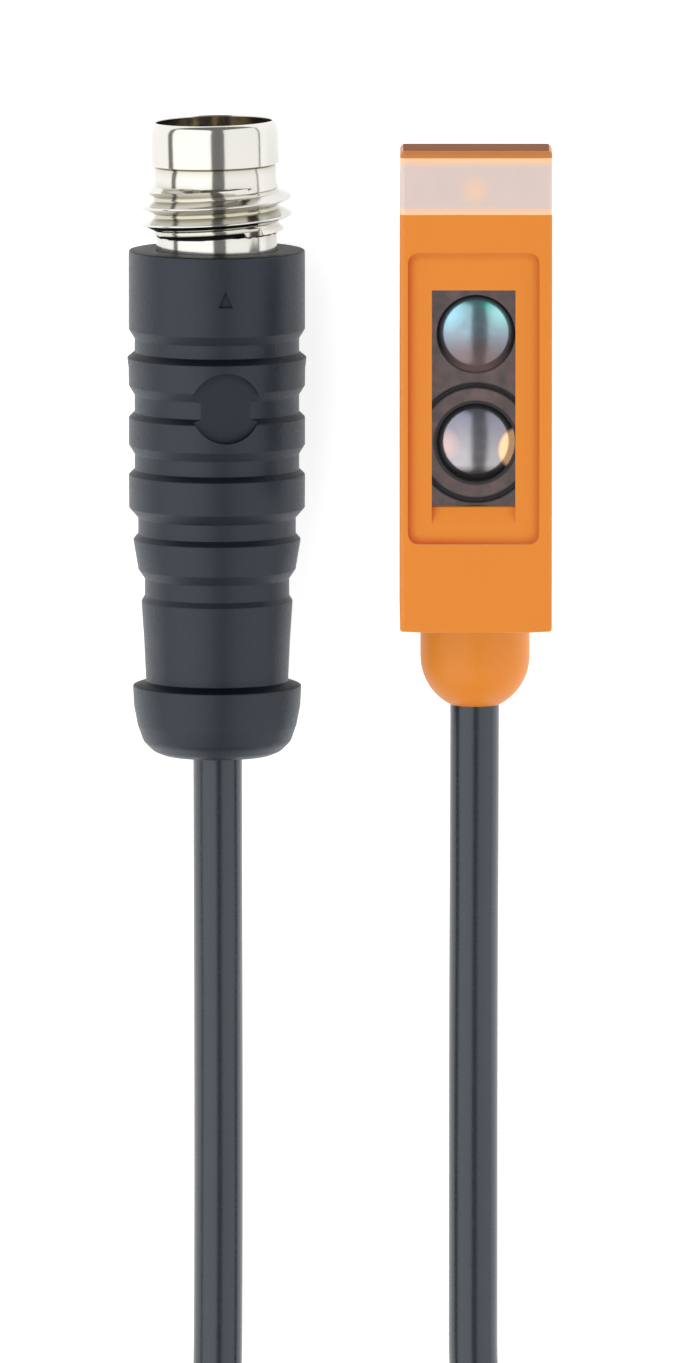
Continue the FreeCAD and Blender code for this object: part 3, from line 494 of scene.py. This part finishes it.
surfaces = {
    # the lid above the light window carries painted shade: in part on the main orange, fully on its copy
    # without shine
    "orange_housing": orange_plastic("orange_housing", 0.3, 0.5, (0.34, 0.15, 0.07)),
    "orange_dull": orange_plastic("orange_dull", 0.0, 1.0, (0.26, 0.12, 0.07)),
    "led_window": milky_cap(),
    "clear_pane": clear_pane(),
    "lens_emitter": lens_with_painted_reflections(
        "lens_emitter", "emitter_lens", (0.30, 0.33, 0.38), (0.22, 0.50, 0.56), -0.1, LENS_TURQUOISE_REFLECTIONS),
    "lens_receiver": lens_with_painted_reflections(
        "lens_receiver", "receiver_lens", (0.42, 0.40, 0.42), (0.16, 0.17, 0.24), 1.2, LENS_PEACH_REFLECTIONS),
    "optics_black": optics_block(),
    "board_green": surface("board_green", (0.02, 0.13, 0.05), 0.35, tone=0.15, tone_size=0.8),
    "chip_black": surface("chip_black", (0.025, 0.025, 0.027), 0.5, tone=0.15, tone_size=0.5),
    "chip_red": surface("chip_red", (0.55, 0.04, 0.03), 0.2, tone=0.1, tone_size=0.5),
    "smd_ceramic": surface("smd_ceramic", (0.35, 0.26, 0.18), 0.45, tone=0.2, tone_size=0.4),
    "led_yellow": surface("led_yellow", (0.75, 0.52, 0.08), 0.25, tone=0.08, tone_size=0.4),
    "led_green": surface("led_green", (0.12, 0.55, 0.15), 0.25, tone=0.08, tone_size=0.4),
    "bush_steel": surface("bush_steel", (0.58, 0.57, 0.55), 0.28, tone=0.05, grain=0.05, Metallic=1.0),
    "seal_rubber": surface("seal_rubber", (0.02, 0.02, 0.022), 0.6, tone=0.2),
    "crimp_metal": surface("crimp_metal", (0.55, 0.52, 0.46), 0.35, tone=0.1, Metallic=1.0),
    "jacket_black": surface("jacket_black", (0.009, 0.012, 0.018), 0.26, tone=0.12, tone_size=2.0,
                            grain=0.25, depth=0.001, Specular_IOR_Level=0.7, Specular_Tint=COOL),
    "core_brown": surface("core_brown", (0.2, 0.08, 0.03), 0.4, tone=0.1),
    "core_blue": surface("core_blue", (0.03, 0.1, 0.45), 0.4, tone=0.1),
    "core_black": surface("core_black", (0.02, 0.02, 0.02), 0.4, tone=0.1),
    # painted yellowish shade in the thread's troughs, standing for light bounced between the flanks
    "nickel": surface("nickel", (0.585, 0.573, 0.535), 0.12, tone=0.03, tone_size=1.5, grain=0.08,
                      depth=0.0004, crease_shade=0.5, crease_shade_tint=(0.33, 0.305, 0.205), Metallic=1.0),
    "insert_black": surface("insert_black", (0.03, 0.03, 0.03), 0.5, tone=0.15),
    "gold": surface("gold", (0.78, 0.56, 0.22), 0.2, tone=0.04, Metallic=1.0),
    "mould_black": surface("mould_black", (0.03, 0.03, 0.03), 0.5, tone=0.15),
    # painted shade in the grip's grooves and on its upward-facing ledges
    "grip_black": surface("grip_black", (0.009, 0.013, 0.020), 0.42, tone=0.15, tone_size=1.5,
                          grain=0.16, depth=0.012, crease_shade=0.45, ledge_shade_shine=0.45, Specular_Tint=COOL),
    "tie_black": surface("tie_black", (0.03, 0.03, 0.035), 0.8, tone=0.25, tone_size=0.6,
                         grain=0.3, depth=0.05),
}


# ---------------------------------------------------------------- mesh helpers

MERGE = 1e-7
FLAT_ANGLE = math.radians(0.6)
BEVEL_ANGLE = math.radians(38)
PLUG = mm(-13.68, 9.07, 4.65)


def add_piece(name, mesh, slot, node, finish=None):
    """Put a mesh in the scene as a detailed piece in place of one CAD node."""
    piece = bpy.data.objects.new(name, mesh)
    bpy.context.scene.collection.objects.link(piece)
    mesh.materials.append(surfaces[finish or slot])
    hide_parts(node)
    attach(piece, BODY)
    return piece


def settle(piece):
    """Apply the piece's modifiers to its mesh."""
    graph = bpy.context.evaluated_depsgraph_get()
    mesh = bpy.data.meshes.new_from_object(piece.evaluated_get(graph))
    piece.modifiers.clear()
    piece.data = mesh


def smooth_over(piece, angle):
    """Smooth shading with crisp edges above an angle, flat faces kept flat."""
    piece.data.shade_smooth()
    piece.data.set_sharp_from_angle(angle=math.radians(angle))
    weigh = piece.modifiers.new("weighted", "WEIGHTED_NORMAL")
    weigh.keep_sharp = True
    settle(piece)


def softened(node, name, slot, width, cuts=2):
    """A copy of a CAD node's mesh with clean faces and small rounded edges."""
    source = frame["nodes"][node]
    mesh = source.data.copy()
    mesh.transform(source.matrix_world)
    mesh.materials.clear()
    work = bmesh.new()
    work.from_mesh(mesh)
    bmesh.ops.remove_doubles(work, verts=work.verts, dist=MERGE)
    bmesh.ops.dissolve_limit(work, angle_limit=FLAT_ANGLE, verts=work.verts, edges=work.edges)
    work.to_mesh(mesh)
    work.free()
    piece = add_piece(name, mesh, slot, node)
    bevel = piece.modifiers.new("soft_edges", "BEVEL")
    bevel.width = width * MM
    bevel.segments = cuts
    bevel.limit_method = "ANGLE"
    bevel.angle_limit = BEVEL_ANGLE
    settle(piece)
    smooth_over(piece, 50)
    return piece


def shade_lid(piece):
    """Give the end face above the light window the copy of the orange that is fully darkened as painted
    shade and has no shine.
    """
    piece.data.materials.append(surfaces["orange_dull"])
    for face in piece.data.polygons:
        if face.normal.y > 0.9 and face.center.y > LID_FROM * MM:
            face.material_index = 1


def rounded(points, radius, cuts=3):
    """Replace the corners of an outline by small arcs; a corner may carry its own radius."""
    outline = []
    count = len(points)
    for index, point in enumerate(points):
        here = Vector(point[:2])
        before = Vector(points[index - 1][:2]) - here
        after = Vector(points[(index + 1) % count][:2]) - here
        own = point[2] if len(point) > 2 else radius
        turn = math.pi - before.angle(after)
        if turn < math.radians(8) or own == 0:
            outline.append(here)
            continue
        reach = min(own * math.tan(turn / 2), 0.45 * before.length, 0.45 * after.length)
        start, end = here + before.normalized() * reach, here + after.normalized() * reach
        for cut in range(cuts + 1):
            share = cut / cuts
            outline.append((1 - share) ** 2 * start + 2 * share * (1 - share) * here + share ** 2 * end)
    return outline


def revolved(name, rows, steps, centre, axis="Y"):
    """A closed surface of revolution through (radius, height) rows."""
    mesh = bpy.data.meshes.new(name)
    work = bmesh.new()
    rings = []
    for radius, height in rows:
        ring = []
        for step in range(steps):
            angle = 2 * math.pi * step / steps
            across, up = radius * math.cos(angle), radius * math.sin(angle)
            spot = (across, height, up) if axis == "Y" else (across, up, height)
            ring.append(work.verts.new(centre + mm(*spot)))
        rings.append(ring)
    for row in range(len(rings)):
        ring, above = rings[row], rings[(row + 1) % len(rings)]
        for step in range(steps):
            after = (step + 1) % steps
            work.faces.new((ring[step], ring[after], above[after], above[step]))
    bmesh.ops.recalc_face_normals(work, faces=work.faces)
    work.to_mesh(mesh)
    work.free()
    return mesh


# ---------------------------------------------------------------- threaded sleeve

PITCH = 0.9
CREST = 4.0
ROOT = 3.3
NECK = 3.2
NECK_FLARE = 0.04
CREST_AT_LEFT = 1.42
THREAD_LOW = 0.78
THREAD_HIGH = 3.52
THREAD_FORM = [
    (0.0, 0.0), (0.04, 0.01), (0.07, 0.06), (0.36, 0.94), (0.40, 0.99),
    (0.5, 1.0), (0.60, 0.99), (0.64, 0.94), (0.93, 0.06), (0.96, 0.01),
]
THREAD_TURNS = range(-2, 5)
SLEEVE_STEPS = 192
SLEEVE_LEAN = math.radians(1.3)
SLEEVE_LOW = [(3.1, -3.0), (3.6, -3.0), (3.6, -0.6), (3.2, -0.6), (3.2, 0.7), (3.2, THREAD_LOW)]
SLEEVE_HIGH = [
    (3.24, THREAD_HIGH), (3.24, 4.44), (3.19, 4.5), (3.42, 4.58), (3.42, 6.1), (3.4, 6.42), (3.34, 6.66),
    (3.25, 6.81), (3.17, 6.85), (3.1, 6.78), (3.1, 5.0),
]


def thread_point(turn, phase, depth, angle):
    """Radius and height on the fine helix, with chamfered run-outs at both ends."""
    height = CREST_AT_LEFT + PITCH * (turn + phase + (math.pi - angle) / (2 * math.pi))
    height = min(THREAD_HIGH, max(THREAD_LOW, height))
    lead_out = 3.86 - (height - 3.2) * 2.2
    lead_in = NECK + (height - 0.85) * 2.0
    neck = NECK + NECK_FLARE * ease(height, THREAD_LOW, THREAD_HIGH)
    return max(neck, min(CREST - (CREST - ROOT) * depth, lead_out, lead_in)), height


def make_sleeve():
    """Nickel sleeve: neck, right-hand thread, band and rounded rim; mesh rows follow the helix."""
    work = bmesh.new()
    lean = Matrix.Rotation(SLEEVE_LEAN, 3, "Z")
    thread = [(turn, phase, depth) for turn in THREAD_TURNS for phase, depth in THREAD_FORM]
    first, last = len(SLEEVE_LOW), len(SLEEVE_LOW) + len(thread)
    rows = SLEEVE_LOW + thread + SLEEVE_HIGH
    rings = []
    for row in rows:
        ring = []
        for step in range(SLEEVE_STEPS):
            angle = 2 * math.pi * step / SLEEVE_STEPS
            radius, height = thread_point(*row, angle) if len(row) == 3 else row
            spot = mm(radius * math.cos(angle), height, radius * math.sin(angle))
            ring.append(work.verts.new(PLUG + lean @ spot))
        rings.append(ring)

    def corner(row, step):
        """A vertex of the grid; past the seam the helix rows have moved by one turn."""
        row %= len(rings)
        if step == SLEEVE_STEPS and first <= row < last:
            return rings[max(first, row - len(THREAD_FORM))][0]
        return rings[row][step % SLEEVE_STEPS]

    for row in range(len(rings)):
        for step in range(SLEEVE_STEPS):
            face = [corner(row, step), corner(row, step + 1)]
            face += [corner(row + 1, step + 1), corner(row + 1, step)]
            if len(set(face)) == 4:
                work.faces.new(face)
    bmesh.ops.remove_doubles(work, verts=work.verts, dist=MERGE)
    bmesh.ops.recalc_face_normals(work, faces=work.faces)
    mesh = bpy.data.meshes.new("connector_sleeve")
    work.to_mesh(mesh)
    work.free()
    smooth_over(add_piece("connector_sleeve", mesh, "nickel", "threaded_sleeve"), 42)


# ---------------------------------------------------------------- grip

GRIP_OUTLINE = [
    (3.23, 0.0, 0.03), (4.67, 0.0, 0.14),
    (4.67, -4.2, 0.1), (4.36, -4.7, 0.12), (4.36, -5.4, 0.08), (4.75, -5.72, 0.08), (4.68, -6.3),
    (4.67, -7.2, 0.1), (4.36, -7.7, 0.12), (4.36, -8.6, 0.08), (4.67, -8.9, 0.1),
    (4.67, -10.35, 0.1), (4.36, -10.85, 0.12), (4.36, -11.65, 0.08), (4.67, -11.95, 0.1),
    (4.66, -13.7, 0.1), (4.18, -14.25, 0.14), (4.18, -15.1, 0.08), (4.44, -15.4, 0.1),
    (4.17, -17.0, 0.1), (3.83, -17.5, 0.12), (3.83, -18.4, 0.08), (4.01, -18.7, 0.1),
    (3.87, -20.8), (3.77, -22.95, 0.1), (4.47, -23.2, 0.12), (4.41, -24.3), (4.22, -25.3, 0.8),
    (3.91, -26.2, 0.8), (3.39, -26.7, 0.6), (2.9, -26.9, 0.3), (1.33, -26.9, 0.05), (1.33, -13.0, 0),
    (3.6, -13.0, 0), (3.6, -0.6, 0), (3.23, -0.6, 0),
]
DISC_TILT = math.radians(6.7)
DISC_HEIGHT = -8.0
DISC_RADIUS = 1.87
DISC_FLOOR = 4.17
MARK_AT = (0.5, -2.2)
MARK_HALF = 0.38
MARK_TALL = 0.9
MARK_FLOOR = 4.4
CUT_TOP = 6.0


def cutter(name, outline, low, high, tilt):
    """A prism from a flat outline, turned by a tilt about the plug's axis, used to sink a mark."""
    mesh = bpy.data.meshes.new(name)
    work = bmesh.new()
    turn = Matrix.Rotation(tilt, 4, "Y")
    ends = []
    for level in (low, high):
        ends.append([work.verts.new(PLUG + turn @ mm(x, y, level)) for x, y in outline])
    work.faces.new(ends[0])
    work.faces.new(ends[1])
    count = len(outline)
    for index in range(count):
        after = (index + 1) % count
        work.faces.new((ends[0][index], ends[0][after], ends[1][after], ends[1][index]))
    bmesh.ops.recalc_face_normals(work, faces=work.faces)
    work.to_mesh(mesh)
    work.free()
    tool = bpy.data.objects.new(name, mesh)
    bpy.context.scene.collection.objects.link(tool)
    return tool


def make_grip():
    """Moulded grip with its grooves, the sunken blank disc and the small arrow mark."""
    rows = [tuple(point) for point in rounded(GRIP_OUTLINE, 0.15)]
    mesh = revolved("moulded_grip", rows, 160, PLUG)
    piece = add_piece("moulded_grip", mesh, "grip_black", "plug_grip")
    turns = [math.radians(angle) for angle in range(0, 360, 5)]
    circle = [
        (DISC_RADIUS * math.cos(turn), DISC_HEIGHT + DISC_RADIUS * math.sin(turn)) for turn in turns
    ]
    x, y = MARK_AT
    foot, tip = y - MARK_TALL / 2, y + MARK_TALL / 2
    arrow = [(x - MARK_HALF, foot), (x + MARK_HALF, foot), (x, tip)]
    tools = [
        cutter("disc_cutter", circle, DISC_FLOOR, CUT_TOP, DISC_TILT),
        cutter("arrow_cutter", arrow, MARK_FLOOR, CUT_TOP, 0),
    ]
    for tool in tools:
        sink = piece.modifiers.new(tool.name, "BOOLEAN")
        sink.operation = "DIFFERENCE"
        sink.solver = "EXACT"
        sink.object = tool
    settle(piece)
    for tool in tools:
        bpy.data.objects.remove(tool)
    smooth_over(piece, 30)


# ---------------------------------------------------------------- lenses, pins

LENS_DOME = 0.55
LENS_EDGE = 1.0
LENS_RINGS = 24
AXIS_GAP = 0.001
PIN_RADIUS = 0.5
PIN_CIRCLE = 1.55
PIN_BACK = -5.2
PIN_TIP = 5.6
PIN_NOSE = 0.35
PIN_BEARINGS = (30, 150, 270)
NOSE_ANGLES = (0, 0.4, 0.8, 1.15, 1.4, 1.55)


def make_lens(node, name, finish):
    """Smooth plano-convex lens of revolution about the row's Z."""
    low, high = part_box(node)
    rim = (high.x - low.x) / 2 / MM
    ball = (rim ** 2 + LENS_DOME ** 2) / (2 * LENS_DOME)
    rows = [(AXIS_GAP, 0.0), (rim, 0.0)]
    for step in range(LENS_RINGS + 1):
        radius = rim * (1 - step / LENS_RINGS)
        height = LENS_EDGE + math.sqrt(ball ** 2 - radius ** 2) - (ball - LENS_DOME)
        rows.append((max(radius, AXIS_GAP), height))
    foot = Vector(((low.x + high.x) / 2, (low.y + high.y) / 2, low.z))
    mesh = revolved(name, rows, 96, foot, axis="Z")
    piece = add_piece(name, mesh, "lens_clear", node, finish)
    smooth_over(piece, 40)


def make_pins():
    """Three contact pins with rounded tips, as one piece."""
    work = bmesh.new()
    nose = [
        (PIN_RADIUS * math.cos(bend), PIN_TIP - PIN_NOSE * (1 - math.sin(bend))) for bend in NOSE_ANGLES
    ]
    rows = [(AXIS_GAP, PIN_BACK), (PIN_RADIUS, PIN_BACK)] + nose
    for angle in PIN_BEARINGS:
        turn = math.radians(angle)
        spot = PLUG + mm(PIN_CIRCLE * math.cos(turn), 0, PIN_CIRCLE * math.sin(turn))
        part = revolved("pin", rows, 32, spot)
        work.from_mesh(part)
        bpy.data.meshes.remove(part)
    mesh = bpy.data.meshes.new("gold_pins")
    work.to_mesh(mesh)
    work.free()
    smooth_over(add_piece("gold_pins", mesh, "gold", "contact_pins"), 35)


# ---------------------------------------------------------------- pieces

HEAD_SIDE = -6.0
BEHIND_PANE = ("optics_block", "emitter_glass", "receiver_glass")
CARRIED_OVER = {
    "front_pane": "clear_pane",
    "optics_board": "board_green",
    "main_pcb": "board_green",
    "emitter_led": "chip_red",
    "receiver_photodiode": "chip_black",
    "sensor_asic": "chip_black",
    "smd_parts": "smd_ceramic",
    "status_led": "led_yellow",
    "power_led": "led_green",
    "cable_grommet": "seal_rubber",
    "cable_crimp_ring": "crimp_metal",
    "plug_crimp_ring": "crimp_metal",
    "plug_inner_mould": "mould_black",
    "head_wire_brown": "core_brown",
    "head_wire_blue": "core_blue",
    "head_wire_black": "core_black",
    "plug_wire_brown": "core_brown",
    "plug_wire_blue": "core_blue",
    "plug_wire_black": "core_black",
}
SOFTENED = [
    ("housing_shell", "housing_moulding", "orange_housing", 0.07),
    ("rear_cover", "rear_plate", "orange_housing", 0.08),
    ("led_cap", "light_window", "led_window", 0.05),
    ("optics_carrier", "optics_block", "optics_black", 0.05),
    ("mounting_bush_upper", "screw_bush_upper", "bush_steel", 0.12),
    ("mounting_bush_lower", "screw_bush_lower", "bush_steel", 0.12),
    ("contact_carrier", "contact_insert", "insert_black", 0.08),
    ("coil_tie", "coil_strap", "tie_black", 0.1),
]


def middle_of(item):
    """Centre of an object's box in the shared frame."""
    corners = [item.matrix_world @ Vector(corner) for corner in item.bound_box]
    return sum(corners, Vector()) / len(corners)


for node, finish in CARRIED_OVER.items():
    for place in frame["nodes"][node].material_slots:
        place.material = surfaces[finish]

for node, name, slot, width in SOFTENED:
    piece = softened(node, name, slot, width)
    if node == "housing_shell":
        shade_lid(piece)

make_sleeve()
make_grip()
make_pins()
make_lens("emitter_lens", "emitter_glass", "lens_emitter")
make_lens("receiver_lens", "receiver_glass", "lens_receiver")

# the head is kept out of the mirror images on the bright plug beside it
for item in bpy.data.objects:
    if item.type == "MESH" and item.name not in BEHIND_PANE and middle_of(item).x > HEAD_SIDE * MM:
        item.visible_glossy = False
        item.visible_diffuse = False

cable = make_cable()
cable.data.materials.append(surfaces["jacket_black"])


# ---------------------------------------------------------------- light and floor

PANELS = [
    ("panel_left", -43.0, 37.0, 1.20),
    ("panel_right", 52.5, 34.5, 0.94),
]
PANEL_REACH = 0.9
PANEL_LENGTH = 2.1
PANEL_BACK = -0.2
SKY = 0.26
FLOOR_HALF = 1.5
FLOOR_GLOW = 0.77


def light_panel(name, bearing, half_view, radiance):
    """A long soft panel above one side, seen under a given angle from straight up."""
    data = bpy.data.lights.new(name, "AREA")
    data.shape = "RECTANGLE"
    data.size = 2 * PANEL_REACH * math.tan(math.radians(half_view))
    data.size_y = PANEL_LENGTH
    data.energy = 4 * radiance * data.size * data.size_y
    panel = bpy.data.objects.new(name, data)
    panel.visible_camera = False
    angle = math.radians(bearing)
    panel.location = CAMERA_TARGET + Vector((math.sin(angle), 0, math.cos(angle))) * PANEL_REACH
    panel.location.y += PANEL_BACK
    panel.rotation_euler = (0, angle, 0)
    bpy.context.scene.collection.objects.link(panel)


def make_world():
    """An even white surround and a plain view of colours."""
    world = bpy.data.worlds.new("world")
    world.use_nodes = True
    background = world.node_tree.nodes["Background"]
    background.inputs[0].default_value = (1, 1, 1, 1)
    background.inputs[1].default_value = SKY
    bpy.context.scene.world = world
    bpy.context.scene.view_settings.view_transform = "Standard"


def make_floor():
    """A wide pale sheet under the part, with a faint glow of its own like a light table."""
    mesh = bpy.data.meshes.new("floor")
    corners = [(-FLOOR_HALF, -FLOOR_HALF, 0), (FLOOR_HALF, -FLOOR_HALF, 0)]
    corners += [(FLOOR_HALF, FLOOR_HALF, 0), (-FLOOR_HALF, FLOOR_HALF, 0)]
    mesh.from_pydata(corners, [], [(0, 1, 2, 3)])
    floor = bpy.data.objects.new("floor", mesh)
    bpy.context.scene.collection.objects.link(floor)
    material, tree, main = shader("floor_sheet")
    tone = grain_of(tree, 30.0)
    tree.links.new(mix_of(tree, tone, (0.68, 0.68, 0.68), (0.70, 0.70, 0.70)), main.inputs["Base Color"])
    main.inputs["Roughness"].default_value = 0.9
    main.inputs["Specular IOR Level"].default_value = 0.1
    main.inputs["Emission Color"].default_value = (1, 1, 1, 1)
    main.inputs["Emission Strength"].default_value = FLOOR_GLOW
    mesh.materials.append(material)


for panel in PANELS:
    light_panel(*panel)
make_world()
make_floor()


# ---------------------------------------------------------------- pieces riding on the cable

PLUG_NODES = (
    "plug_inner_mould", "plug_crimp_ring", "plug_wire_brown", "plug_wire_blue", "plug_wire_black",
)
PLUG_PIECES = ("connector_sleeve", "contact_insert", "gold_pins", "moulded_grip", "coil_strap")
on_cable = [frame["nodes"][node] for node in PLUG_NODES]
on_cable += [bpy.data.objects[piece] for piece in PLUG_PIECES]
